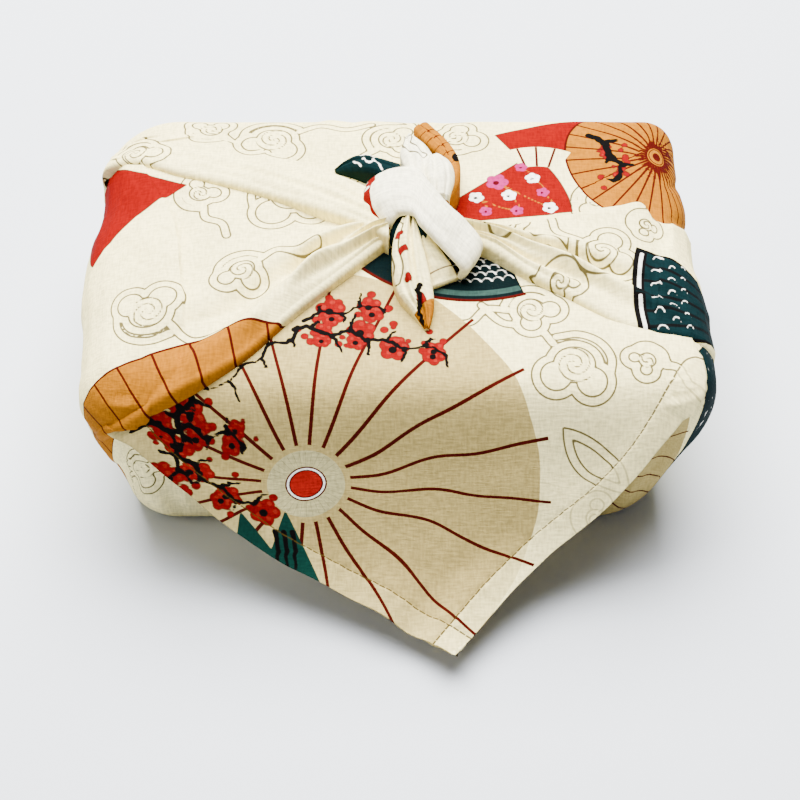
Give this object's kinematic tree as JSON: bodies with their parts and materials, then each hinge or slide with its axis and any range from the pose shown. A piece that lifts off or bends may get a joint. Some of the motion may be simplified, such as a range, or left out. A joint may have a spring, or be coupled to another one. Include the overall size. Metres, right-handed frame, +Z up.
{
  "type": "furoshiki wrap",
  "caption": "Square printed cotton cloth wrapped round a box-shaped bundle, tied in a knot on top, with a hemmed corner hanging over the front.",
  "frame": {"origin": "centre of the bundle's flat bottom, on the plane it stands on", "axes": "+Z up, +X to the right along the bundle's length, -Y to the front, where the hemmed corner hangs"},
  "size_m": [0.2236, 0.202, 0.1001],
  "materials": {
    "printed_cotton": "matt plain-weave cotton with a printed pattern"
  },
  "bodies": {
    "root": {"furoshiki_cloth": "printed_cotton"}
  },
  "joints": []
}
